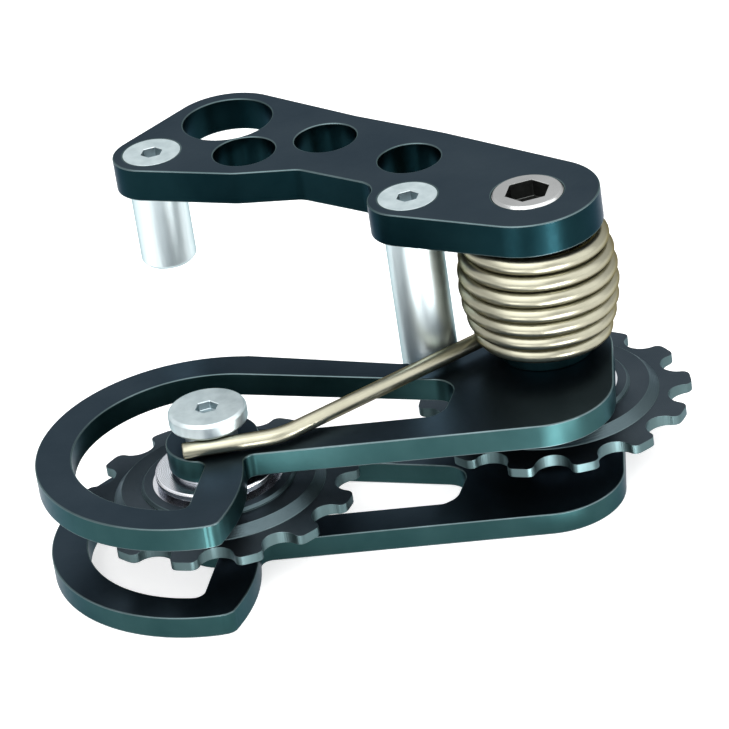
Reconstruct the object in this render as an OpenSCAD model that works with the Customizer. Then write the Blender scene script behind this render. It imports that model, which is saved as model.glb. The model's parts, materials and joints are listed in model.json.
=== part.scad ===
// Two-pulley chain tensioner for a hub-gear drive.
// A bracket plate carries a spring-loaded cage with two toothed chain wheels.
// Millimetres. +Z is up. The origin is on the pivot axis, at the underside
// of the lower cage plate. +X runs from the tension axle to the pivot, with
// the cage at rest against its stop post.

/* [Stack] */
// Thickness of the lower cage plate
lower_t = 4.6; // [3:0.1:6]
// Clear width between the two cage plates
cage_gap = 15; // [13:0.5:20]
// Thickness of the upper cage plate
upper_t = 5; // [4:0.5:8]
// Height of the spring seat above the upper plate
seat_h = 4.5; // [4:0.5:10]
// Height of the coiled part of the spring
spring_h = 23.5; // [23:0.5:32]
// Thickness of the bracket plate
bracket_t = 7; // [6:0.5:10]

/* [Cage plates] */
// Distance between the pivot and the tension axle
axle_gap = 70; // [64:1:80]
// Outer radius of the guard ring
guard_r = 33.2; // [33:0.1:36]
// Radial width of the guard ring
guard_w = 7.3; // [5:0.1:9]
// Distance of the ring's centre beyond the tension axle
guard_out = 2; // [0:0.5:3]
// Sideways distance of the ring's centre from the line of axles
guard_side = 0; // [0:0.1:2]
// Radius of the eye round the pivot
eye_r = 15.4; // [14:0.1:15.6]
// Distance of the eye's centre from the pivot
eye_back = 2.6; // [0:0.1:2.8]
// Radius of the front lobe
lobe_r = 14.7; // [12:0.1:16]
// Distance of the lobe's centre behind the pivot
lobe_x = 6.9; // [4:0.1:8]
// Distance of the lobe's centre in front of the pivot
lobe_y = 14.7; // [12:0.1:16]
// Width of the front bar
bar_w = 8; // [6:0.5:9]
// Length of the front bar's straight edge
bar_len = 57.8; // [50:0.1:60]
// Slope of the front bar in degrees
bar_slope = 19; // [17:0.5:21]
// Width of the spoke between the hub pad and the ring
spoke_w = 6.9; // [5:0.1:10]
// How far the spoke's outer edge bows into the notch
spoke_bow = 2; // [0:0.1:3]
// Radius of the pad round the tension axle
pad_r = 9.2; // [8.8:0.1:11]
// Fillet radius at the notch in front of the hub pad
notch_fillet = 4; // [2:0.5:5]
// Corner radius of the window
window_fillet = 2.2; // [1:0.1:3]

/* [Bracket plate] */
// Wall of the bracket round the pivot bore
pivot_wall = 9.3; // [7:0.1:11]
// Wall round the mounting bores
mount_wall = 5.7; // [4:0.1:7]
// Wall round the large clearance bore
clear_wall = 3.1; // [2:0.1:4]
// Wall round the second clearance bore
second_wall = 3.3; // [2:0.1:4]
// Wall round the post screws
post_wall = 2.1; // [1:0.1:2.5]
// Radius of the two mounting bores
mount_r = 6.4; // [5:0.1:7]
// Radius of the large clearance bore
clear_r = 9.3; // [8:0.1:9.6]
// Radius of the second clearance bore
second_r = 6.4; // [5:0.1:6.7]
// Fillet radius in the bracket's inner corners
bracket_fillet = 5; // [1:0.5:6]
// Place of the near mounting bore, behind the pivot
near_x = 16; // [14:0.5:18]
// Place of the near mounting bore, to the side of the pivot
near_y = 26.9; // [25:0.1:29]
// Place of the far mounting bore, behind the pivot
far_x = 28.3; // [26:0.1:31]
// Place of the far mounting bore, to the side of the pivot
far_y = 45; // [43:0.5:47]
// Distance of the far eye's centre from its bore
far_out = 1.5; // [0:0.1:2]
// Direction of that distance in degrees
far_out_angle = 214; // [200:1:230]
// Place of the large clearance bore, behind the pivot
clear_x = 43.8; // [42:0.1:46]
// Place of the large clearance bore, to the side of the pivot
clear_y = 64.4; // [63:0.1:66]
// Place of the second clearance bore, behind the pivot
second_x = 44.7; // [43:0.1:46]
// Place of the second clearance bore, to the side of the pivot
second_y = 48.2; // [46:0.1:48.4]

/* [Posts] */
// Radius of both posts
post_r = 5.7; // [5:0.1:6]
// Length of the short post
short_post_len = 17.5; // [12:0.5:24]
// Place of the short post, behind the pivot
short_x = 61.7; // [60:0.1:63]
// Place of the short post, to the side of the pivot
short_y = 58.2; // [57:0.1:60]
// Place of the stop post, behind the pivot
stop_x = 21.3; // [21:0.1:22]
// Place of the stop post, to the side of the pivot
stop_y = 11.1; // [11:0.1:12]
// Chamfer on the free ends of the posts
post_chamfer = 0.8; // [0.4:0.1:1.5]
// Height of the stop post's end above the upper plate's underside
stop_lift = 0.2; // [0.1:0.1:2]
// Gap between the stop post and the cage at rest
stop_gap = 0.3; // [0.2:0.05:0.5]
// Radius of the countersunk head of a post screw
screw_head_r = 6; // [5.5:0.1:6]
// Radius of a post screw's thread
screw_r = 3; // [2.5:0.1:3.5]
// Length of a post screw
screw_len = 16; // [12:0.5:20]
// Width of a post screw's hexagon socket across flats
screw_hex = 4; // [3:0.5:4.5]

/* [Pivot] */
// Radius of the pivot spindle
spindle_r = 5; // [4.5:0.1:5.5]
// Radius of the spindle's head
spindle_head_r = 7.2; // [6.8:0.1:8]
// Height of the spindle's head
spindle_head_h = 4; // [3:0.5:5]
// Height of the head above the bracket
spindle_proud = 0.4; // [0:0.1:1]
// Width of the spindle's hexagon socket across flats
spindle_hex = 8; // [6:0.5:8]
// Radius of the spring seat
seat_r = 9.5; // [9:0.1:9.8]
// Radius of the seat's spigot in the upper plate
spigot_r = 8; // [7.5:0.1:8.5]
// Outer radius of the bushes
bush_r = 6.5; // [6.2:0.1:7]
// Running clearance of a turning fit
run_fit = 0.04; // [0.02:0.01:0.08]
// Outer radius of the spacer sleeve inside the spring
sleeve_r = 7; // [6.5:0.1:8]
// Radius of the retaining screw's head
retainer_head_r = 6.8; // [6.4:0.1:7.2]
// Height of the retaining screw's head
retainer_head_h = 1.5; // [1:0.1:1.8]
// Radius of the retaining screw's thread
retainer_r = 2.5; // [2:0.1:3]
// Length of the retaining screw's thread
retainer_len = 12; // [8:0.5:16]
// Gap round the retaining screw's head
recess_gap = 0.4; // [0.2:0.1:0.6]
// Radius of the two spanner holes in that head
spanner_r = 0.9; // [0.6:0.1:1.2]
// Distance of the spanner holes from the pivot axis
spanner_at = 4.2; // [3.8:0.1:4.8]
// Axial play at the faces that turn past each other
end_play = 0.1; // [0.05:0.01:0.3]

/* [Torsion spring] */
// Wire radius
wire_r = 1.6; // [1.4:0.05:1.6]
// Coil radius at the top, to the wire's centre
coil_top_r = 13; // [12.5:0.1:14]
// Coil radius at the bottom, to the wire's centre
coil_end_r = 11.5; // [11.2:0.1:12.5]
// How far the barrel swells at mid height
coil_swell = 2.1; // [0:0.1:3]
// Number of turns
turns = 7; // [5:1:7]
// Gap between the lowest turn and the upper plate
coil_lift = 1.3; // [0.8:0.1:1.5]
// Angle where the arm leaves the coil, in degrees
arm_angle = 150; // [140:1:160]
// Distance from the tension axle to the bend of the arm
arm_bend_x = 11.7; // [10:0.1:14]
// Distance of the bend in front of the line of axles
arm_bend_y = 9.5; // [9:0.1:11]
// Length of the arm's end beyond the tension axle
arm_end_x = 7.1; // [5:0.1:9]
// Gap between the arm and the upper plate
arm_gap = 0.2; // [0.1:0.1:1]
// Radius of the bend up into the bracket
leg_bend_r = 2.6; // [2:0.1:3]
// Depth of the leg in the bracket
leg_depth = 4; // [2:0.5:5]
// Gap round the leg in its hole
leg_gap = 0.5; // [0.3:0.1:0.8]

/* [Chain wheels] */
// Number of teeth
teeth = 13; // [11:1:13]
// Pitch of the chain
chain_pitch = 12.7; // [12.7:0.1:12.7]
// Radius of the tooth tips
tip_r = 27.6; // [26.8:0.1:27.8]
// Radius of the roller seats
seat_cut_r = 3.6; // [3.3:0.1:3.9]
// Rounding of the tooth tips
tip_round = 1.5; // [0.6:0.1:1.6]
// Thickness of the teeth where they start
tooth_t = 3; // [2.4:0.1:3.4]
// Thickness of the teeth at the tips
tip_t = 1.8; // [1.4:0.1:2.2]
// Radius of the thick body of the wheel
body_r = 19.4; // [18:0.1:20]
// Thickness of the thick body
body_t = 6.4; // [5:0.1:7.5]
// Width of the bevel round the body
body_bevel = 1.7; // [1:0.1:1.8]
// Radius of the hub boss
boss_r = 15.4; // [14.5:0.1:17]

/* [Bearings and axle] */
// Outer radius of a bearing
bearing_r = 13; // [12.5:0.1:13.5]
// Width of a bearing
bearing_w = 8; // [7:0.5:9]
// Inner radius of the outer race's land
outer_land_r = 10.9; // [10.6:0.1:11.2]
// Outer radius of the inner race's land
inner_land_r = 7.1; // [6.8:0.1:7.4]
// Radius of a ball
ball_r = 2.2; // [2:0.05:2.3]
// Number of balls
balls = 8; // [6:1:9]
// Clearance round a ball in its groove
ball_gap = 0.05; // [0.02:0.01:0.1]
// Outer radius of the silver side caps
cap_r = 12.2; // [11:0.1:12.6]
// Thickness of a cap's flange
cap_t = 1.4; // [1:0.1:1.5]
// Radius of a cap's spacer neck
cap_neck_r = 6.4; // [6:0.1:6.8]
// Radius of a cap's collar, against the cage plate
collar_r = 8.2; // [7:0.1:9]
// Height of that collar
collar_h = 1; // [0.6:0.1:1]
// Chamfer on the cap's rim
rim_c = 0.3; // [0.1:0.1:0.5]
// Radius of the tension bolt's shank
bolt_r = 4; // [3.5:0.1:4.2]
// Radius of the tension bolt's head
bolt_head_r = 7.8; // [7:0.1:8.5]
// Height of the tension bolt's head
bolt_head_h = 3.4; // [3:0.1:5]
// Radius of the neck that the spring arm bears on
neck_r = 5.2; // [5:0.1:5.2]
// Length of the neck
neck_h = 3.6; // [3.5:0.1:5]
// Width of the bolt's hexagon socket across flats
bolt_hex = 4; // [3:0.5:6]
// How far the bolt's end stays inside the lower plate
bolt_inset = 0.4; // [0.2:0.1:1]
// Chamfer on turned edges
edge_c = 0.5; // [0.3:0.1:0.7]

/* [Hidden] */

$fn = 64;
// Overrun of every cut past the face it opens
cut = 0.5;

// Heights of the faces in the stack
gap_z = lower_t;
upper_z = gap_z + cage_gap;
top_z = upper_z + upper_t;
seat_z = top_z + seat_h;
bracket_z = seat_z + spring_h;
bracket_top = bracket_z + bracket_t;
wheel_z = gap_z + cage_gap / 2;

// Places in plan
axle = [-axle_gap, 0];
guard = axle + [-guard_out, guard_side];
eye = [-eye_back, 0];
lobe = [-lobe_x, -lobe_y];
near = [-near_x, near_y];
far = [-far_x, far_y];
clear_at = [-clear_x, clear_y];
second = [-second_x, second_y];
short_at = [-short_x, short_y];
stop_at = [-stop_x, stop_y];
guard_in = guard_r - guard_w;

// Angle on the ring where the back band leaves it, and where the ring ends at the notch
band_angle = 54;
corner_angle = -100.5;
curve_steps = 10;
// Angle on the eye where the band's edge meets it
eye_angle = 158;
// The back band's end beside the stop post, as shares of the post's place
band_share = [1.3, 0.8];
// The window's rounded end: places as shares of the axle gap, radii as shares of the bar's width
end_back_share = [0.386, 0.069];
end_front_share = [0.414, 0.133];
end_radius_share = [0.66, 0.58];

// A point on a circle
function at(c, r, a) = c + r * [cos(a), sin(a)];

// Points of a curve from a to b that bends towards m
function curve(a, m, b) = [for (i = [0 : curve_steps])
    let (s = i / curve_steps) (1 - s) * (1 - s) * a + 2 * s * (1 - s) * m + s * s * b];

bar_dir = [cos(bar_slope), -sin(bar_slope)];
bar_up = [sin(bar_slope), cos(bar_slope)];
lobe_foot = lobe - lobe_r * bar_up;
notch = lobe_foot - bar_len * bar_dir;
corner = at(guard, guard_r, corner_angle);
spoke_dir = (corner - notch) / norm(corner - notch);
spoke_left = [spoke_dir[1], -spoke_dir[0]];
band_top = at(guard, guard_r, band_angle);
spoke_bend = (notch + corner) / 2 - 2 * spoke_bow * spoke_left;
band_end = [-stop_x * band_share[0], stop_y * band_share[1]];

// Chain wheel
pitch_r = chain_pitch / (2 * sin(180 / teeth));
race_r = (outer_land_r + inner_land_r) / 2;
// How far the roller seats' bottoms sit inside the pitch circle
seat_fit = 3.7;
// Turn of each wheel, so that its teeth stand as they were left
guide_turn = 15;
tension_turn = 17.5;

// Section cuts through turned parts
stop_post_end = upper_z + stop_lift;
cap_neck_h = (cage_gap - bearing_w) / 2 - cap_t - collar_h;
// Which side of its bearing a cap stands on
above = 1;
below = -1;
// Depths of the hexagon sockets as shares of their heads or threads
screw_socket_share = 0.14;
bolt_socket_share = 0.5;
spindle_socket_share = 0.9;
spanner_share = 0.7;
// Countersink depth of a post screw, at 90 degrees
screw_cone = screw_head_r - screw_r;

// Torsion spring
coil_low_z = top_z + coil_lift + wire_r;
coil_high_z = bracket_z - end_play - wire_r;
arm_z = top_z + arm_gap + wire_r;
rings_per_turn = 22;
wire_sides = 10;
// The arm's end beside the neck, as a share of the neck's radius
arm_end_share = 1.05;
// Rings of the sweep, as shares of the way along the leg's bend, the arm and the arm's bend
leg_ring_share = 0.25;
arm_ring_shares = [0.06, 0.5, 0.94];
bend_ring_shares = [0.12, 0.5, 0.88];
// Where the arm's bend starts and ends, as shares of the straights beside it
bend_reach_shares = [0.06, 0.16];
// Half width of the ring that joins the balls, as a share of a ball's radius
ball_ring_share = 0.25;

// Fills inner corners with a fillet
module filleted(r) {
    offset(r = -r) offset(delta = r) children();
}

// Flat bar between two round ends
module link(a, ra, b, rb) {
    hull() {
        translate(a) circle(ra, $fn = 96);
        translate(b) circle(rb, $fn = 96);
    }
}

// A straight hole or pin on a vertical axis
module pin(c, r, z0, z1) {
    translate([c[0], c[1], z0]) cylinder(r = r, h = z1 - z0);
}

// A hexagon socket, given its width across flats
module hex_cut(c, flats, z0, z1) {
    translate([c[0], c[1], z0]) cylinder(d = flats / cos(30), h = z1 - z0, $fn = 6);
}

// A turned part: outline in radius and height, on a vertical axis
module turned(c, points) {
    translate([c[0], c[1], 0]) rotate_extrude() polygon(points);
}

// A tube with small chamfers on its outer edges
module ring_tube(c, r_in, r_out, z0, z1, ch) {
    turned(c, [
        [r_in, z0], [r_out - ch, z0], [r_out, z0 + ch],
        [r_out, z1 - ch], [r_out - ch, z1], [r_in, z1]
    ]);
}

// The plate's outside: guard ring, back band, pivot eye and lobe, front bar
module cage_blank() {
    bar_mid = lobe_foot - bar_len / 2 * bar_dir;
    away = [0, guard_r];
    difference() {
        union() {
            translate(guard) circle(guard_r, $fn = 160);
            hull() {
                translate(eye) circle(eye_r, $fn = 96);
                translate(lobe) rotate(-bar_slope) circle(lobe_r, $fn = 96);
            }
            polygon([
                band_top, band_end, at(eye, eye_r, eye_angle), eye, lobe, lobe_foot, notch, guard
            ]);
        }
        polygon(concat(
            curve(notch, spoke_bend, corner), [corner - away, bar_mid - away, bar_mid]
        ));
    }
}

// The window: the ring's inside and the taper between band and bar,
// without the hub pad, its spoke and the bar
module cage_window() {
    end_back = [-end_back_share[0], -end_back_share[1]] * axle_gap;
    end_front = [-end_front_share[0], -end_front_share[1]] * axle_gap;
    offset(r = window_fillet) offset(delta = -window_fillet) difference() {
        hull() {
            translate(guard) circle(guard_in, $fn = 160);
            translate(end_back) circle(end_radius_share[0] * bar_w);
            translate(end_front) circle(end_radius_share[1] * bar_w);
        }
        translate(axle) circle(pad_r, $fn = 96);
        polygon(concat(
            curve(notch, spoke_bend, corner),
            [corner + spoke_w * spoke_left, notch + spoke_w * spoke_left]
        ));
        polygon([lobe_foot, notch, notch + bar_w * bar_up, lobe_foot + bar_w * bar_up]);
    }
}

module cage_sheet(z, t) {
    translate([0, 0, z]) linear_extrude(t) difference() {
        filleted(notch_fillet) cage_blank();
        cage_window();
        translate(stop_at) circle(post_r + stop_gap, $fn = 96);
    }
}

module bracket_sheet() {
    pivot_eye = spindle_r + pivot_wall;
    mount_eye = mount_r + mount_wall;
    clear_eye = clear_r + clear_wall;
    second_eye = second_r + second_wall;
    post_eye = screw_head_r + post_wall;
    far_eye = at(far, far_out, far_out_angle);
    filleted(bracket_fillet) {
        link([0, 0], pivot_eye, near, mount_eye);
        link(near, mount_eye, far_eye, mount_eye);
        link(far_eye, mount_eye, clear_at, clear_eye);
        link(clear_at, clear_eye, short_at, post_eye);
        link(far_eye, mount_eye, second, second_eye);
        link(second, second_eye, short_at, post_eye);
        link([0, 0], pivot_eye, stop_at, post_eye);
        polygon([clear_at, far_eye, second, short_at]);
    }
}

module bracket_plate() {
    leg = leg_point(1);
    color([0.08, 0.12, 0.13]) difference() {
        translate([0, 0, bracket_z]) linear_extrude(bracket_t) bracket_sheet();
        pin([0, 0], spindle_r, bracket_z - cut, bracket_top + cut);
        pin([0, 0], spindle_head_r, bracket_top + spindle_proud - spindle_head_h, bracket_top + cut);
        for (c = [near, far]) pin(c, mount_r, bracket_z - cut, bracket_top + cut);
        pin(clear_at, clear_r, bracket_z - cut, bracket_top + cut);
        pin(second, second_r, bracket_z - cut, bracket_top + cut);
        for (c = [short_at, stop_at]) {
            pin(c, screw_r, bracket_z - cut, bracket_top + cut);
            turned(c, [
                [0, bracket_top - screw_cone - screw_r], [screw_head_r, bracket_top],
                [screw_head_r, bracket_top + cut], [0, bracket_top + cut]
            ]);
        }
        pin([leg[0], leg[1]], wire_r + leg_gap, bracket_z - cut, bracket_z + leg_depth + leg_gap);
    }
}

// A post under the bracket, with a tapped hole for its screw
module post(c, z0) {
    difference() {
        turned(c, [
            [0, z0], [post_r - post_chamfer, z0], [post_r, z0 + post_chamfer],
            [post_r, bracket_z], [0, bracket_z]
        ]);
        pin(c, screw_r, bracket_top - screw_len - cut, bracket_z + cut);
    }
}

module short_post() {
    color([0.80, 0.84, 0.85]) post(short_at, bracket_z - short_post_len);
}

module stop_post() {
    color([0.80, 0.84, 0.85]) post(stop_at, stop_post_end);
}

// Countersunk screw with its head flush in the bracket
module post_screw(c) {
    difference() {
        turned(c, [
            [0, bracket_top - screw_len], [screw_r - edge_c, bracket_top - screw_len],
            [screw_r, bracket_top - screw_len + edge_c], [screw_r, bracket_top - screw_cone],
            [screw_head_r, bracket_top], [0, bracket_top]
        ]);
        hex_cut(c, screw_hex, bracket_top - screw_len * screw_socket_share, bracket_top + cut);
    }
}

module short_post_screw() {
    color([0.78, 0.81, 0.84]) post_screw(short_at);
}

module stop_post_screw() {
    color([0.78, 0.81, 0.84]) post_screw(stop_at);
}

module pivot_spindle() {
    head_z = bracket_top + spindle_proud;
    foot_z = retainer_head_h;
    color([0.62, 0.64, 0.66]) difference() {
        turned([0, 0], [
            [0, foot_z], [spindle_r - edge_c, foot_z], [spindle_r, foot_z + edge_c],
            [spindle_r, head_z - spindle_head_h], [spindle_head_r, head_z - spindle_head_h],
            [spindle_head_r, head_z - edge_c], [spindle_head_r - edge_c, head_z], [0, head_z]
        ]);
        hex_cut([0, 0], spindle_hex, head_z - spindle_head_h * spindle_socket_share, head_z + cut);
        pin([0, 0], retainer_r, foot_z - cut, foot_z + retainer_len);
    }
}

module spacer_sleeve() {
    color([0.66, 0.68, 0.70])
        ring_tube([0, 0], spindle_r, sleeve_r, seat_z + end_play, bracket_z, edge_c);
}

// Flush screw at the pivot's foot, turned with a two-pin spanner
module retaining_screw() {
    end_z = retainer_head_h + retainer_len;
    color([0.66, 0.68, 0.70]) difference() {
        turned([0, 0], [
            [0, 0], [retainer_head_r - edge_c, 0], [retainer_head_r, edge_c],
            [retainer_head_r, retainer_head_h], [retainer_r, retainer_head_h],
            [retainer_r, end_z - edge_c], [retainer_r - edge_c, end_z], [0, end_z]
        ]);
        for (side = [above, below])
            pin([0, side * spanner_at], spanner_r, -cut, retainer_head_h * spanner_share);
    }
}

// Coil radius at a share u of the way down the barrel
function coil_r(u) = coil_top_r + (coil_end_r - coil_top_r) * u + coil_swell * sin(180 * u);

// A point of the coil: u runs from the bracket down to the seat
function coil_point(u) =
    let (a = arm_angle - 360 * turns * (1 - u), r = coil_r(u))
    [r * cos(a), r * sin(a), coil_high_z + (coil_low_z - coil_high_z) * u];

// The leg's bend, from the top of the coil up into the bracket
function leg_point(s) =
    let (
        a = arm_angle - 360 * turns,
        start = coil_point(0),
        back = [sin(a), -cos(a), 0]
    )
    start + leg_bend_r * sin(90 * s) * back + [0, 0, leg_bend_r * (1 - cos(90 * s))];

arm_bend = [-axle_gap + arm_bend_x, -arm_bend_y, arm_z];
arm_end = [-axle_gap - arm_end_x, -neck_r * arm_end_share, arm_z];
arm_start = coil_point(1);

leg_side = [cos(arm_angle), sin(arm_angle), 0];
arm_side = [arm_bend[1] - arm_start[1], arm_start[0] - arm_bend[0], 0];

// The wire's centre line as [point, side] pairs, from the leg to the arm's end
wire_path = concat(
    [let (p = leg_point(1)) [[p[0], p[1], bracket_z + leg_depth], leg_side]],
    [for (s = [1 : -leg_ring_share : leg_ring_share]) [leg_point(s), leg_side]],
    [for (i = [0 : rings_per_turn * turns]) let (p = coil_point(i / (rings_per_turn * turns)))
        [p, [p[0], p[1], 0]]],
    [for (s = arm_ring_shares) [arm_start + s * (arm_bend - arm_start), arm_side]],
    [for (s = bend_ring_shares) arm_bend_ring(s)],
    [[arm_end, arm_side]]
);

// Rounds the arm's bend with three points of a curve
function arm_bend_ring(s) =
    let (
        a = arm_bend + (arm_start - arm_bend) * bend_reach_shares[0],
        b = arm_bend + (arm_end - arm_bend) * bend_reach_shares[1],
        p = (1 - s) * (1 - s) * a + 2 * s * (1 - s) * arm_bend + s * s * b
    )
    [p, arm_side];

function unit(v) = v / norm(v);

// Rings of points along a path, squared to its direction at each point
function sweep_points(path, r, sides) = [
    for (i = [0 : len(path) - 1])
        let (
            a = path[max(i - 1, 0)][0],
            b = path[min(i + 1, len(path) - 1)][0],
            t = unit(b - a),
            up = unit(cross(t, path[i][1])),
            side = cross(up, t)
        )
        for (k = [0 : sides - 1])
            path[i][0] + r * (cos(360 * k / sides) * side + sin(360 * k / sides) * up)
];

function sweep_faces(count, sides) = concat(
    [[for (k = [0 : sides - 1]) k]],
    [for (i = [0 : count - 2], k = [0 : sides - 1])
        let (j = (k + 1) % sides, a = i * sides)
        [a + k, a + sides + k, a + sides + j, a + j]],
    [[for (k = [sides - 1 : -1 : 0]) (count - 1) * sides + k]]
);

module torsion_spring() {
    color([0.80, 0.77, 0.62]) polyhedron(
        sweep_points(wire_path, wire_r, wire_sides),
        sweep_faces(len(wire_path), wire_sides),
        convexity = 10
    );
}

module spring_seat() {
    color([0.10, 0.14, 0.15]) turned([0, 0], [
        [bush_r, upper_z], [spigot_r, upper_z], [spigot_r, top_z], [seat_r, top_z],
        [seat_r, seat_z - edge_c], [seat_r - edge_c, seat_z], [bush_r, seat_z]
    ]);
}

module upper_bush() {
    color([0.72, 0.56, 0.30])
        ring_tube([0, 0], spindle_r + run_fit, bush_r, upper_z, seat_z, 0);
}

module lower_bush() {
    bush_z = retainer_head_h + end_play;
    color([0.72, 0.56, 0.30])
        ring_tube([0, 0], spindle_r + run_fit, bush_r, bush_z, gap_z, 0);
}

module upper_cage_plate() {
    color([0.08, 0.12, 0.13]) difference() {
        cage_sheet(upper_z, upper_t);
        pin([0, 0], spigot_r, upper_z - cut, top_z + cut);
        pin(axle, bolt_r, upper_z - cut, top_z + cut);
    }
}

module lower_cage_plate() {
    recess_r = retainer_head_r + recess_gap;
    color([0.08, 0.12, 0.13]) difference() {
        cage_sheet(0, lower_t);
        pin([0, 0], bush_r, -cut, gap_z + cut);
        pin([0, 0], recess_r, -cut, retainer_head_h + end_play);
        pin(axle, bolt_r, -cut, gap_z + cut);
    }
}

// Outline of the teeth: tip circle with a round seat for each roller
module tooth_outline() {
    offset(r = tip_round) offset(delta = -tip_round) difference() {
        circle(tip_r, $fn = 156);
        for (i = [0 : teeth - 1]) rotate(360 / teeth * (i + 0.5))
            translate([pitch_r - (seat_cut_r - seat_fit), 0]) circle(seat_cut_r, $fn = 28);
    }
}

module chain_wheel(c, turn) {
    h = body_t / 2;
    t = tooth_t / 2;
    s = tip_t / 2;
    difference() {
        translate([c[0], c[1], wheel_z]) rotate(turn) union() {
            intersection() {
                translate([0, 0, -t]) linear_extrude(tooth_t) tooth_outline();
                rotate_extrude(convexity = 4) polygon([
                    [0, -t], [body_r, -t], [tip_r + cut, -s], [tip_r + cut, s],
                    [body_r, t], [0, t]
                ]);
            }
            rotate_extrude() polygon([
                [0, -bearing_w / 2], [boss_r - edge_c, -bearing_w / 2],
                [boss_r, edge_c - bearing_w / 2], [boss_r, -h], [body_r, -h],
                [body_r + body_bevel, -t], [body_r + body_bevel, t], [body_r, h],
                [boss_r, h], [boss_r, bearing_w / 2 - edge_c],
                [boss_r - edge_c, bearing_w / 2], [0, bearing_w / 2]
            ]);
        }
        pin(c, bearing_r, wheel_z - bearing_w, wheel_z + bearing_w);
    }
}

module guide_wheel() {
    color([0.16, 0.18, 0.21]) chain_wheel([0, 0], guide_turn);
}

module tension_wheel() {
    color([0.16, 0.18, 0.21]) chain_wheel(axle, tension_turn);
}

// Outer race, with a round groove for the balls
module outer_race(c) {
    h = bearing_w / 2;
    difference() {
        turned(c, [
            [outer_land_r, wheel_z - h], [bearing_r, wheel_z - h],
            [bearing_r, wheel_z + h], [outer_land_r, wheel_z + h]
        ]);
        ball_groove(c);
    }
}

module inner_race(c, bore_r) {
    h = bearing_w / 2;
    difference() {
        turned(c, [
            [bore_r, wheel_z - h], [inner_land_r, wheel_z - h],
            [inner_land_r, wheel_z + h], [bore_r, wheel_z + h]
        ]);
        ball_groove(c);
    }
}

module ball_groove(c) {
    translate([c[0], c[1], wheel_z]) rotate_extrude()
        translate([race_r, 0]) circle(ball_r + ball_gap, $fn = 24);
}

// Balls joined by their cage ring
module ball_set(c) {
    ring = ball_r * ball_ring_share;
    translate([c[0], c[1], wheel_z]) union() {
        for (i = [0 : balls - 1]) rotate(360 / balls * i)
            translate([race_r, 0, 0]) sphere(ball_r, $fn = 16);
        rotate_extrude($fn = 32) translate([race_r - ring, -ring])
            square([2 * ring, 2 * ring]);
    }
}

// Flanged spacer between a bearing and a cage plate, above or below the bearing
module side_cap(c, bore_r, side) {
    base = wheel_z + side * bearing_w / 2;
    step = base + side * cap_neck_h;
    rim = step + side * cap_t;
    face = rim + side * collar_h;
    turned(c, [
        [bore_r, base], [cap_neck_r, base], [cap_neck_r, step], [cap_r, step],
        [cap_r, rim - side * rim_c], [cap_r - rim_c, rim], [collar_r, rim],
        [collar_r, face], [bore_r, face]
    ]);
}

module guide_outer_race() { color([0.70, 0.72, 0.74]) outer_race([0, 0]); }
module guide_inner_race() { color([0.70, 0.72, 0.74]) inner_race([0, 0], spindle_r + run_fit); }
module guide_balls() { color([0.80, 0.82, 0.84]) ball_set([0, 0]); }
module guide_upper_cap() { color([0.80, 0.82, 0.84]) side_cap([0, 0], spindle_r + run_fit, above); }
module guide_lower_cap() { color([0.80, 0.82, 0.84]) side_cap([0, 0], spindle_r + run_fit, below); }

module tension_outer_race() { color([0.70, 0.72, 0.74]) outer_race(axle); }
module tension_inner_race() { color([0.70, 0.72, 0.74]) inner_race(axle, spindle_r); }
module tension_balls() { color([0.80, 0.82, 0.84]) ball_set(axle); }
module tension_upper_cap() { color([0.80, 0.82, 0.84]) side_cap(axle, spindle_r, above); }
module tension_lower_cap() { color([0.80, 0.82, 0.84]) side_cap(axle, spindle_r, below); }

module tension_axle_sleeve() {
    color([0.66, 0.68, 0.70]) ring_tube(axle, bolt_r, spindle_r, gap_z, upper_z, 0);
}

module tension_axle_bolt() {
    neck_z = top_z + neck_h;
    head_z = neck_z + bolt_head_h;
    color([0.78, 0.82, 0.86]) difference() {
        turned(axle, [
            [0, bolt_inset], [bolt_r - edge_c, bolt_inset], [bolt_r, bolt_inset + edge_c],
            [bolt_r, top_z], [neck_r, top_z], [neck_r, neck_z],
            [bolt_head_r - edge_c, neck_z], [bolt_head_r, neck_z + edge_c],
            [bolt_head_r, head_z - edge_c], [bolt_head_r - edge_c, head_z], [0, head_z]
        ]);
        hex_cut(axle, bolt_hex, head_z - bolt_head_h * bolt_socket_share, head_z + cut);
    }
}

bracket_plate();
short_post();
stop_post();
short_post_screw();
stop_post_screw();
pivot_spindle();
spacer_sleeve();
retaining_screw();
torsion_spring();
spring_seat();
upper_bush();
lower_bush();
upper_cage_plate();
lower_cage_plate();
guide_wheel();
guide_outer_race();
guide_inner_race();
guide_balls();
guide_upper_cap();
guide_lower_cap();
tension_wheel();
tension_outer_race();
tension_inner_race();
tension_balls();
tension_upper_cap();
tension_lower_cap();
tension_axle_sleeve();
tension_axle_bolt();
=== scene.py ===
"""Looks of the chain tensioner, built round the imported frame. Metres, row frame."""
import json
import math

import bmesh
import bpy
from mathutils import Matrix, Vector


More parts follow.
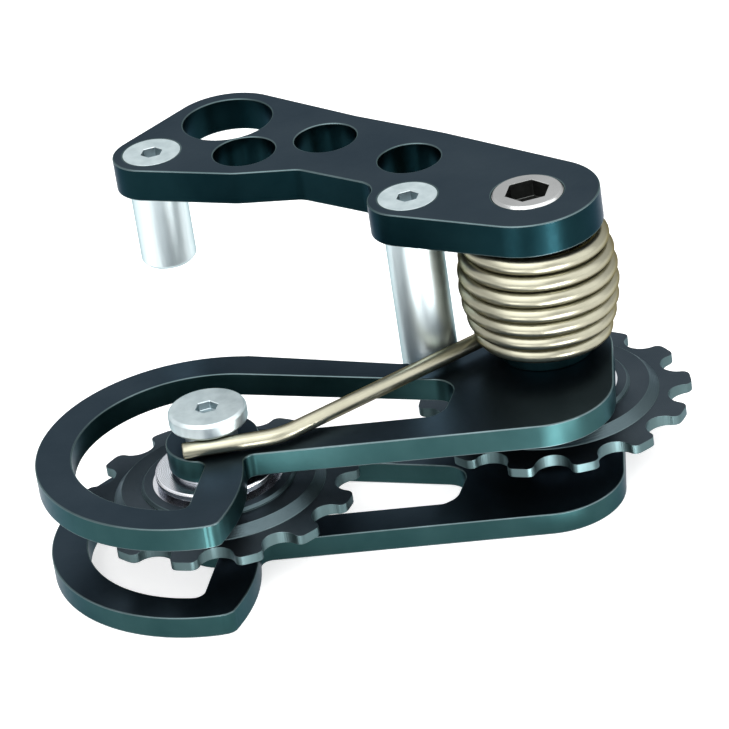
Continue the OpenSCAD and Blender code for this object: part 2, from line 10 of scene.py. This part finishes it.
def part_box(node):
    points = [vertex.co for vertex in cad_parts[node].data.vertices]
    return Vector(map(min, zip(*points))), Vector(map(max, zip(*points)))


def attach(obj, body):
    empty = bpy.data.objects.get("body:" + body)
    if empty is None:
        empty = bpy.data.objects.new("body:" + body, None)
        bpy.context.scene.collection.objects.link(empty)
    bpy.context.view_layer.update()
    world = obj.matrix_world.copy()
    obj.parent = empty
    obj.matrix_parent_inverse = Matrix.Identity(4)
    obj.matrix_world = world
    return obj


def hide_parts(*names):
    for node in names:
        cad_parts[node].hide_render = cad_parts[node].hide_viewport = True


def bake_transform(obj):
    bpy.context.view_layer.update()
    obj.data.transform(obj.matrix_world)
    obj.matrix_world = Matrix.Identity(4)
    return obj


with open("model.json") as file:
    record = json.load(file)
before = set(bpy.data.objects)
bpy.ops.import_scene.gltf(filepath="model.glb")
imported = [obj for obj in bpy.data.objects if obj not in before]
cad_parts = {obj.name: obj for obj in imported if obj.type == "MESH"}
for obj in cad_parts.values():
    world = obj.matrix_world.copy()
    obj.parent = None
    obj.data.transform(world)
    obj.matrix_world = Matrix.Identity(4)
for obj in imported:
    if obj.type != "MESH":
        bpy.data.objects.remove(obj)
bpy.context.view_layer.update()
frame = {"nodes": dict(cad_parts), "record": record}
NODES = frame["nodes"]
SLOT_OF = {s["node"]: s["material_slot"] for s in frame["record"]["subparts"]}
BODY_OF = {n: b for b, ns in frame["record"]["behaviour"]["bodies"].items() for n in ns}
MM = 0.001
WHITE = (1, 1, 1, 1)

scene = bpy.context.scene
scene.view_settings.view_transform = "Standard"

# Camera, from a pinhole fit to the photograph: lengths in mm, angles in radians
FRAME_PX = 729
SENSOR = 36.0
FOCAL_PX = 4532.675
ELEVATION = 0.50279
ROLL = 0.153024
YAW = 0.2189803
SHIFT = Vector((39.67565, 17.4208, 913.51973))
LIFT = 0.6
CLIP_NEAR_M, CLIP_FAR_M = 0.05, 20


def make_camera():
    """The photograph's camera: x right, y down and z away from it, turned into Blender's axes."""
    se, ce = math.sin(ELEVATION), math.cos(ELEVATION)
    sr, cr = math.sin(ROLL), math.cos(ROLL)
    sy, cy = math.sin(YAW), math.cos(YAW)
    tilt = Matrix(((1, 0, 0), (0, -se, -ce), (0, ce, -se)))
    roll = Matrix(((cr, sr, 0), (-sr, cr, 0), (0, 0, 1)))
    turn = Matrix(((cy, -sy, 0), (sy, cy, 0), (0, 0, 1)))
    m = roll @ tilt @ turn
    place = (-(m.transposed() @ SHIFT) + Vector((0, 0, LIFT))) * MM
    axes = Matrix((m[0], -m[1], -m[2])).transposed()
    data = bpy.data.cameras.new("camera")
    data.sensor_width = SENSOR
    data.lens = FOCAL_PX / FRAME_PX * SENSOR
    data.clip_start, data.clip_end = CLIP_NEAR_M, CLIP_FAR_M
    cam = bpy.data.objects.new("camera", data)
    cam.matrix_world = Matrix.Translation(place) @ axes.to_4x4()
    scene.collection.objects.link(cam)
    scene.camera = cam


make_camera()

# Materials: texture scales per metre, depths in metres
PATCH_SCALE, PATCH_DETAIL = 60, 4
GRAIN_SCALE, GRAIN_DETAIL = 900, 2
NOISE_ROUGHNESS = 0.55
PATCH_DARK, PATCH_LIGHT = 0.3, 0.7
GRAIN_STRENGTH, GRAIN_DEPTH = 0.1, 0.00004
# The upright part of a face's normal, below which it is a wall and above which it is flat: the mask
# for the painted wall colours
WALL_BELOW, FLAT_ABOVE = 0.35, 0.95
# A lathe's feed of 0.35 mm, in the wave texture's scale of 20 radians a unit
LATHE_SCALE = 2 * math.pi / (0.35 * MM) / 20
# How much deeper the turning lines are than the grain
LATHE_RELIEF = 3.0


def new_material(name):
    mat = bpy.data.materials.new(name)
    mat.use_nodes = True
    nt = mat.node_tree
    return mat, nt, nt.nodes["Principled BSDF"]


def add(nt, kind, **values):
    """A node, with each value put on the input of that name, or else on the node itself."""
    n = nt.nodes.new(kind)
    for k, v in values.items():
        if k in n.inputs:
            n.inputs[k].default_value = v
        else:
            setattr(n, k, v)
    return n


def ramp(nt, source, dark, light):
    """A colour that goes from dark to light with a value."""
    r = nt.nodes.new("ShaderNodeValToRGB")
    stops = ((PATCH_DARK, dark), (PATCH_LIGHT, light))
    for element, (at, colour) in zip(r.color_ramp.elements, stops):
        element.position = at
        element.color = (*colour, 1)
    nt.links.new(source, r.inputs["Fac"])
    return r.outputs["Color"]


def coords(nt, **mapping):
    """Object coordinates through a mapping."""
    tc = nt.nodes.new("ShaderNodeTexCoord")
    mp = add(nt, "ShaderNodeMapping", **mapping)
    nt.links.new(tc.outputs["Object"], mp.inputs["Vector"])
    return mp.outputs["Vector"]


def noise(nt, vector, scale, detail):
    n = add(nt, "ShaderNodeTexNoise", Scale=scale, Detail=detail, Roughness=NOISE_ROUGHNESS)
    nt.links.new(vector, n.inputs["Vector"])
    return n.outputs["Fac"]


def remap(nt, value, **limits):
    """A value brought from one range to another."""
    r = add(nt, "ShaderNodeMapRange", **limits)
    nt.links.new(value, r.inputs["Value"])
    return r.outputs["Result"]


def bump(nt, bsdf, height):
    b = add(nt, "ShaderNodeBump", Strength=GRAIN_STRENGTH, Distance=GRAIN_DEPTH)
    nt.links.new(height, b.inputs["Height"])
    nt.links.new(b.outputs["Normal"], bsdf.inputs["Normal"])


def turning_lines(nt, centre):
    """Fine rings round an upright axis, as a lathe leaves them on a face."""
    rings = add(nt, "ShaderNodeTexWave", wave_type="RINGS", rings_direction="Z",
                Scale=LATHE_SCALE, Distortion=0.4, Detail=1.0)
    nt.links.new(coords(nt, Location=(-centre[0], -centre[1], 0)), rings.inputs["Vector"])
    return rings.outputs["Fac"]


def flatness(nt):
    """0 on an upright face, 1 on a level one."""
    geo = nt.nodes.new("ShaderNodeNewGeometry")
    split = nt.nodes.new("ShaderNodeSeparateXYZ")
    nt.links.new(geo.outputs["Normal"], split.inputs[0])
    size = add(nt, "ShaderNodeMath", operation="ABSOLUTE")
    nt.links.new(split.outputs["Z"], size.inputs[0])
    return remap(nt, size.outputs[0], **{"From Min": WALL_BELOW, "From Max": FLAT_ABOVE})


def metal(name, dark, light, rough, edge=(1, 1, 1), wall=None, stretch=(1, 1, 1), rings=None):
    """A metal whose colour and roughness drift over the surface, with a fine grain.

    edge tints its grazing reflection. wall is a second (dark, light) pair painted on upright faces:
    a painted reflection of the lit floor that the walls mirror.
    stretch scales the texture's axes. rings is the axis of a turned piece, whose faces carry
    turning lines.
    """
    mat, nt, bsdf = new_material(name)
    v = coords(nt, Scale=stretch)
    patches = noise(nt, v, PATCH_SCALE, PATCH_DETAIL)
    relief = noise(nt, v, GRAIN_SCALE, GRAIN_DETAIL)
    colour = ramp(nt, patches, dark, light)
    # Upright faces get their own colours: painted reflection of the lit floor
    if wall:
        mix = add(nt, "ShaderNodeMix", data_type="RGBA")
        nt.links.new(flatness(nt), mix.inputs["Factor"])
        nt.links.new(ramp(nt, patches, *wall), mix.inputs["A"])
        nt.links.new(colour, mix.inputs["B"])
        colour = mix.outputs["Result"]
    nt.links.new(colour, bsdf.inputs["Base Color"])
    low, high = rough
    roughness = remap(nt, relief, **{"To Min": low, "To Max": high})
    nt.links.new(roughness, bsdf.inputs["Roughness"])
    bsdf.inputs["Metallic"].default_value = 1.0
    bsdf.inputs["Specular Tint"].default_value = (*edge, 1)
    if rings:
        both = add(nt, "ShaderNodeMath", operation="MULTIPLY_ADD")
        nt.links.new(turning_lines(nt, rings), both.inputs[0])
        both.inputs[1].default_value = LATHE_RELIEF
        nt.links.new(relief, both.inputs[2])
        relief = both.outputs[0]
    bump(nt, bsdf, relief)
    return mat


FINISHES = {
    # The black pieces' teal wall pair is a painted reflection of the lit floor in their upright
    # faces
    "black_anodised": dict(dark=(0.024, 0.036, 0.046), light=(0.034, 0.048, 0.060),
                           rough=(0.27, 0.40), edge=(0.55, 0.60, 0.66),
                           wall=((0.015, 0.043, 0.045), (0.026, 0.064, 0.066))),
    "bright_zinc": dict(dark=(0.54, 0.62, 0.64), light=(0.70, 0.78, 0.80), rough=(0.32, 0.46),
                        edge=(0.20, 0.32, 0.34), stretch=(6, 6, 0.6)),
    "turned_steel": dict(dark=(0.40, 0.41, 0.41), light=(0.56, 0.57, 0.57), rough=(0.16, 0.28),
                         edge=(0.4, 0.4, 0.4), stretch=(1, 1, 8)),
    "yellow_zinc": dict(dark=(0.26, 0.255, 0.195), light=(0.37, 0.36, 0.28), rough=(0.26, 0.38),
                        edge=(0.20, 0.17, 0.11)),
    "bronze": dict(dark=(0.45, 0.30, 0.12), light=(0.60, 0.42, 0.20), rough=(0.25, 0.40)),
    # The wheels' lighter wall pair is a painted highlight on the tooth walls
    "wheel_alloy": dict(dark=(0.034, 0.046, 0.056), light=(0.052, 0.066, 0.078),
                        rough=(0.34, 0.46), edge=(0.6, 0.65, 0.7),
                        wall=((0.055, 0.090, 0.095), (0.085, 0.130, 0.135))),
    "bearing_steel": dict(dark=(0.70, 0.72, 0.76), light=(0.84, 0.86, 0.90), rough=(0.14, 0.24),
                          edge=(0.5, 0.5, 0.55)),
    # The bracket stands high over the ground, and its upright faces are painted darker: painted
    # shade, a shaded copy of the black pieces' finish
    "bracket": dict(dark=(0.028, 0.040, 0.050), light=(0.038, 0.052, 0.062), rough=(0.27, 0.40),
                    edge=(0.55, 0.60, 0.66),
                    wall=((0.002, 0.010, 0.013), (0.005, 0.018, 0.022))),
    # Lighter bevels of the black pieces, partly edge wear and partly painted highlight, and painted
    # shade inside the hexagon sockets
    "edge_wear_and_highlight": dict(dark=(0.050, 0.078, 0.082), light=(0.105, 0.145, 0.155), rough=(0.25, 0.40),
                   edge=(0.6, 0.7, 0.7)),
    "socket": dict(dark=(0.035, 0.038, 0.036), light=(0.085, 0.088, 0.085), rough=(0.30, 0.45),
                   edge=(0.4, 0.4, 0.4)),
    "zinc_socket": dict(dark=(0.32, 0.38, 0.40), light=(0.46, 0.53, 0.56), rough=(0.30, 0.45),
                        edge=(0.4, 0.5, 0.5)),
}
MATS = {name: metal(name, **finish) for name, finish in FINISHES.items()}
TURNED = ("pivot_spindle", "tension_axle_bolt", "short_post_screw", "stop_post_screw",
          "retaining_screw", "guide_wheel", "tension_wheel", "spring_seat", "tension_upper_cap",
          "tension_lower_cap", "guide_upper_cap", "guide_lower_cap")


def axis_of(node_name):
    """The upright axis through the middle of a node, and the height of its top."""
    low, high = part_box(node_name)
    return (low[0] + high[0]) / 2, (low[1] + high[1]) / 2, high[2]


def material_of(node_name):
    """The node's finish: the bracket's own, or its slot's, with turning lines on a turned piece."""
    # The bracket's own finish carries painted shade on its upright faces
    if node_name == "bracket_plate":
        return MATS["bracket"]
    slot = SLOT_OF[node_name]
    if node_name not in TURNED:
        return MATS[slot]
    return metal(node_name + "_metal", **FINISHES[slot], rings=axis_of(node_name)[:2])


for node_name, node in NODES.items():
    mat = material_of(node_name)
    if not node.material_slots:
        node.data.materials.append(mat)
    for s in node.material_slots:
        s.material = mat

# Machined pieces with the small edge radii that real ones have: lengths in mm, angles in degrees
EDGE_RADII = {
    "bracket_plate": 0.4, "upper_cage_plate": 0.4, "lower_cage_plate": 0.4,
    "short_post": 0.2, "stop_post": 0.2, "short_post_screw": 0.12, "stop_post_screw": 0.12,
    "pivot_spindle": 0.2, "tension_axle_bolt": 0.25, "spring_seat": 0.2,
    "tension_upper_cap": 0.12, "guide_upper_cap": 0.12,
    "guide_wheel": 0.25, "tension_wheel": 0.25,
}
EDGE_SEGMENTS, EDGE_ANGLE = 3, 32
MERGE, FLAT_ANGLE = 0.01, 0.6
# Pieces whose bevels take the lighter edge material: edge wear and painted highlight
WORN_AND_HIGHLIT_EDGES = ("bracket_plate", "upper_cage_plate", "lower_cage_plate", "guide_wheel", "tension_wheel")
# The reach of each hexagon socket from its axis, and the depths between which its faces lie
SOCKETS = {"pivot_spindle": 4.8, "short_post_screw": 3.2, "stop_post_screw": 3.2,
           "tension_axle_bolt": 3.2}
SOCKET_FROM, SOCKET_TO = 0.15, 8
# The cage plates' sharp corner, where the ring ends, and the arc that it becomes
CORNER = Vector((-78.05, -32.64)) * MM
CORNER_CENTRE, CORNER_R = Vector((-78.93, -29.33)) * MM, 3.0 * MM
CORNER_CUTS, CORNER_REACH, CORNER_EDGE_REACH = 4, 2.2, 3.5


def round_corner(bm):
    """The cage plates' one sharp corner, where the ring ends, is rounded as the real one is."""
    def near(v, reach):
        return (v.co.xy - CORNER).length < reach * MM

    def outlines(e):
        a, b = e.verts
        level = abs(a.co.z - b.co.z) < 0.01 * MM
        return level and any(abs(f.normal.z) < 0.5 for f in e.link_faces)

    outline = [e for e in bm.edges
               if all(near(v, CORNER_EDGE_REACH) for v in e.verts) and outlines(e)]
    bmesh.ops.subdivide_edges(bm, edges=outline, cuts=CORNER_CUTS, use_grid_fill=True)
    for v in bm.verts:
        away = v.co.xy - CORNER_CENTRE
        if near(v, CORNER_REACH) and away.length > CORNER_R:
            v.co.xy = CORNER_CENTRE + away.normalized() * CORNER_R


def darken_socket(bm, node_name):
    """Gives the walls and floor of a hexagon socket the second, darker material: painted shade in
    the recess.
    """
    x, y, top = axis_of(node_name)
    reach = SOCKETS[node_name] * MM
    for f in bm.faces:
        c = f.calc_center_median()
        inside = (c.xy - Vector((x, y))).length < reach
        if inside and top - SOCKET_TO * MM < c.z < top - SOCKET_FROM * MM:
            f.material_index = 1


def edged(node_name, radius):
    """A copy of a node with its edges rounded, which stands for it."""
    me = NODES[node_name].data.copy()
    me.name = node_name + "_edged"
    if "custom_normal" in me.attributes:
        me.attributes.remove(me.attributes["custom_normal"])
    bm = bmesh.new()
    bm.from_mesh(me)
    bmesh.ops.remove_doubles(bm, verts=bm.verts, dist=MERGE * MM)
    bmesh.ops.dissolve_limit(bm, angle_limit=math.radians(FLAT_ANGLE), verts=bm.verts,
                             edges=bm.edges)
    if node_name.endswith("cage_plate"):
        round_corner(bm)
    # A darker second material in the hexagon socket: painted shade
    if node_name in SOCKETS:
        darken_socket(bm, node_name)
        me.materials.append(MATS["socket" if node_name == "pivot_spindle" else "zinc_socket"])
    for f in bm.faces:
        f.smooth = True
    bm.to_mesh(me)
    bm.free()
    obj = bpy.data.objects.new(node_name + "_edged", me)
    scene.collection.objects.link(obj)
    mod = obj.modifiers.new("edges", "BEVEL")
    mod.width = radius * MM
    mod.segments = EDGE_SEGMENTS
    mod.limit_method = "ANGLE"
    mod.angle_limit = math.radians(EDGE_ANGLE)
    mod.use_clamp_overlap = True
    mod.harden_normals = True
    mod.miter_outer = "MITER_SHARP" if node_name in SOCKETS else "MITER_ARC"
    # Bevel faces take the lighter edge material: edge wear and painted highlight
    if node_name in WORN_AND_HIGHLIT_EDGES:
        me.materials.append(MATS["edge_wear_and_highlight"])
        mod.material = 1
    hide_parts(node_name)
    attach(obj, BODY_OF[node_name])


for node_name, radius in EDGE_RADII.items():
    edged(node_name, radius)

# Torsion spring, on the same line as the solid, with a finer wire: lengths in mm
AXLE_GAP = 70.0
TOP_Z, BRACKET_Z = 24.6, 52.6
ARM_ANGLE = 150.0
TURNS, STEPS_PER_TURN = 7, 56
WIRE_R, WIRE_SIDES = 1.6, 20
COIL_TOP_R, COIL_END_R, COIL_SWELL = 13.0, 11.5, 2.1
COIL_LIFT, COIL_GAP, ARM_GAP = 1.3, 0.1, 0.2
COIL_LOW, COIL_HIGH = TOP_Z + COIL_LIFT + WIRE_R, BRACKET_Z - COIL_GAP - WIRE_R
ARM_Z = TOP_Z + ARM_GAP + WIRE_R
ARM_BEND_X, ARM_BEND_Y = 11.7, 9.5
ARM_END_X, NECK_R, ARM_END_SHARE = 7.1, 5.2, 1.05
ARM_BEND = Vector((-AXLE_GAP + ARM_BEND_X, -ARM_BEND_Y, ARM_Z))
ARM_END = Vector((-AXLE_GAP - ARM_END_X, -NECK_R * ARM_END_SHARE, ARM_Z))
# Places along the arm's two straight runs, as shares of their lengths
ARM_RUN, ARM_TIP_RUN = (0.06, 0.2, 0.4, 0.6, 0.8, 0.94), (0.16, 0.4, 0.7, 1.0)
BEND_STEPS = 10
LEG_R, LEG_TOP, LEG_STEPS = 2.6, BRACKET_Z + 4.0, 8
# The wire's ends: their radius as a share of the wire's, and how far the rounding reaches in
END_R, END_INSET = 0.88, 0.15


def coil_point(u):
    """A point of the coil, from the top (0) to the bottom (1)."""
    a = math.radians(ARM_ANGLE - 360 * TURNS * (1 - u))
    r = COIL_TOP_R + (COIL_END_R - COIL_TOP_R) * u + COIL_SWELL * math.sin(math.pi * u)
    return Vector((r * math.cos(a), r * math.sin(a), COIL_HIGH + (COIL_LOW - COIL_HIGH) * u))


def leg_point(s):
    """A point of the quarter bend that lifts the coil's top end into the bracket."""
    a = math.radians(ARM_ANGLE - 360 * TURNS)
    back = Vector((math.sin(a), -math.cos(a), 0))
    lift = Vector((0, 0, LEG_R * (1 - math.cos(s * math.pi / 2))))
    return coil_point(0) + LEG_R * math.sin(s * math.pi / 2) * back + lift


def spring_line():
    """The wire's middle line: leg, coil, arm, and the bend that bears on the bolt's neck."""
    start = coil_point(1)
    top = leg_point(1)
    points = [Vector((top.x, top.y, LEG_TOP))]
    points += [leg_point(1 - i / LEG_STEPS) for i in range(LEG_STEPS)]
    steps = STEPS_PER_TURN * TURNS
    points += [coil_point(i / steps) for i in range(steps + 1)]
    points += [start + (ARM_BEND - start) * s for s in ARM_RUN]
    a = ARM_BEND + (start - ARM_BEND) * (1 - ARM_RUN[-1])
    b = ARM_BEND + (ARM_END - ARM_BEND) * ARM_TIP_RUN[0]
    for i in range(1, BEND_STEPS):
        s = i / BEND_STEPS
        points.append(a * (1 - s) ** 2 + ARM_BEND * (2 * s * (1 - s)) + b * s * s)
    points += [ARM_BEND + (ARM_END - ARM_BEND) * s for s in ARM_TIP_RUN]
    return points


def tube(name, points, radius, sides):
    """A round wire along a line, with slightly rounded ends. Frames are carried along the line."""
    bm = bmesh.new()
    rings = []
    count = len(points)
    side = (points[1] - points[0]).normalized().orthogonal().normalized()

    def ring(middle, side, up, r):
        turns = [2 * math.pi * k / sides for k in range(sides)]
        rings.append([bm.verts.new((middle + (side * math.cos(t) + up * math.sin(t)) * r) * MM)
                      for t in turns])

    for i, p in enumerate(points):
        t = (points[min(i + 1, count - 1)] - points[max(i - 1, 0)]).normalized()
        side = (side - t * side.dot(t)).normalized()
        up = t.cross(side)
        ring(p, side, up, radius * (END_R if i in (0, count - 1) else 1.0))
        if i == 0:
            ring(p + t * radius * END_INSET, side, up, radius)
        elif i == count - 2:
            last = (points[-1] - p).normalized()
            ring(points[-1] - last * radius * END_INSET, side, up, radius)
    for a, b in zip(rings, rings[1:]):
        for k in range(sides):
            j = (k + 1) % sides
            bm.faces.new((a[k], a[j], b[j], b[k]))
    bm.faces.new(rings[0][::-1])
    bm.faces.new(rings[-1])
    for f in bm.faces:
        f.smooth = True
    bmesh.ops.recalc_face_normals(bm, faces=bm.faces)
    me = bpy.data.meshes.new(name)
    bm.to_mesh(me)
    bm.free()
    obj = bpy.data.objects.new(name, me)
    scene.collection.objects.link(obj)
    return obj


spring = tube("spring_wire", spring_line(), WIRE_R, WIRE_SIDES)
spring.data.materials.append(MATS["yellow_zinc"])
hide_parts("torsion_spring")
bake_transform(spring)

# Studio, in metres
AIM = (-0.03, 0.01, 0.03)
# Lamps: place, size, and power in watts
LAMPS = {
    "key": ((-0.35, -0.40, 0.50), 0.80, 5.0),
    "fill": ((0.45, -0.35, 0.35), 0.70, 2.0),
    "top": ((-0.03, -0.05, 0.70), 0.80, 3.0),
}
# Panels: middle x and y, width, length, angle in degrees, and level, where 1 is white
PANELS = {
    "panel_cage": (-0.0095, -0.072, 0.018, 0.071, 0, 11),
    "panel_bracket": (0.027, -0.115, 0.030, 0.080, 14.5, 24),
    "panel_corner": (-0.0805, -0.080, 0.014, 0.064, 0, 14),
}
PANEL_HEIGHT = 0.0005
WORLD_LIGHT, WORLD_SEEN = 0.45, 1.0
FLOOR_COLOUR, FLOOR_GLOW = (0.85, 0.85, 0.85, 1), 0.6
FLOOR_SIZE, FLOOR_Z = 6.0, -0.0001


def area(name, place, target, size, power):
    """A square area lamp that faces a target."""
    data = bpy.data.lights.new(name, "AREA")
    data.energy = power
    data.size = size
    obj = bpy.data.objects.new(name, data)
    obj.location = place
    obj.rotation_mode = "QUATERNION"
    obj.rotation_quaternion = (Vector(target) - Vector(place)).to_track_quat("-Z", "Y")
    scene.collection.objects.link(obj)
    return obj


def panel(name, x, y, width, length, angle, level):
    """A narrow light panel lying on the floor in front, facing up: it is seen in upright faces."""
    power = level * math.pi * width * length
    obj = area(name, (x, y, PANEL_HEIGHT), (x, y, 1), width, power)
    obj.data.shape = "RECTANGLE"
    obj.data.size_y = length
    obj.rotation_mode = "XYZ"
    obj.rotation_euler = (math.pi, 0, math.radians(angle))
    obj.visible_camera = False


def seen(nt, low, high):
    """low for the light that falls on things, high where the camera or a gloss sees it."""
    rays = nt.nodes.new("ShaderNodeLightPath")
    either = add(nt, "ShaderNodeMath", operation="MAXIMUM")
    nt.links.new(rays.outputs["Is Camera Ray"], either.inputs[0])
    nt.links.new(rays.outputs["Is Glossy Ray"], either.inputs[1])
    return remap(nt, either.outputs[0], **{"To Min": low, "To Max": high})


def make_world():
    world = bpy.data.worlds.new("studio")
    scene.world = world
    world.use_nodes = True
    nt = world.node_tree
    background = nt.nodes["Background"]
    background.inputs["Color"].default_value = WHITE
    nt.links.new(seen(nt, WORLD_LIGHT, WORLD_SEEN), background.inputs["Strength"])


def make_floor():
    bm = bmesh.new()
    bmesh.ops.create_grid(bm, x_segments=1, y_segments=1, size=FLOOR_SIZE)
    me = bpy.data.meshes.new("floor")
    bm.to_mesh(me)
    bm.free()
    obj = bpy.data.objects.new("floor", me)
    obj.location = (0, 0, FLOOR_Z)
    scene.collection.objects.link(obj)
    mat, nt, bsdf = new_material("floor")
    bsdf.inputs["Base Color"].default_value = FLOOR_COLOUR
    bsdf.inputs["Roughness"].default_value = 0.9
    bsdf.inputs["Specular IOR Level"].default_value = 0.1
    nt.links.new(seen(nt, 0.0, FLOOR_GLOW), bsdf.inputs["Emission Strength"])
    bsdf.inputs["Emission Color"].default_value = WHITE
    me.materials.append(mat)


for name, (place, size, power) in LAMPS.items():
    area(name, place, AIM, size, power)
for name, numbers in PANELS.items():
    panel(name, *numbers)
make_world()
make_floor()
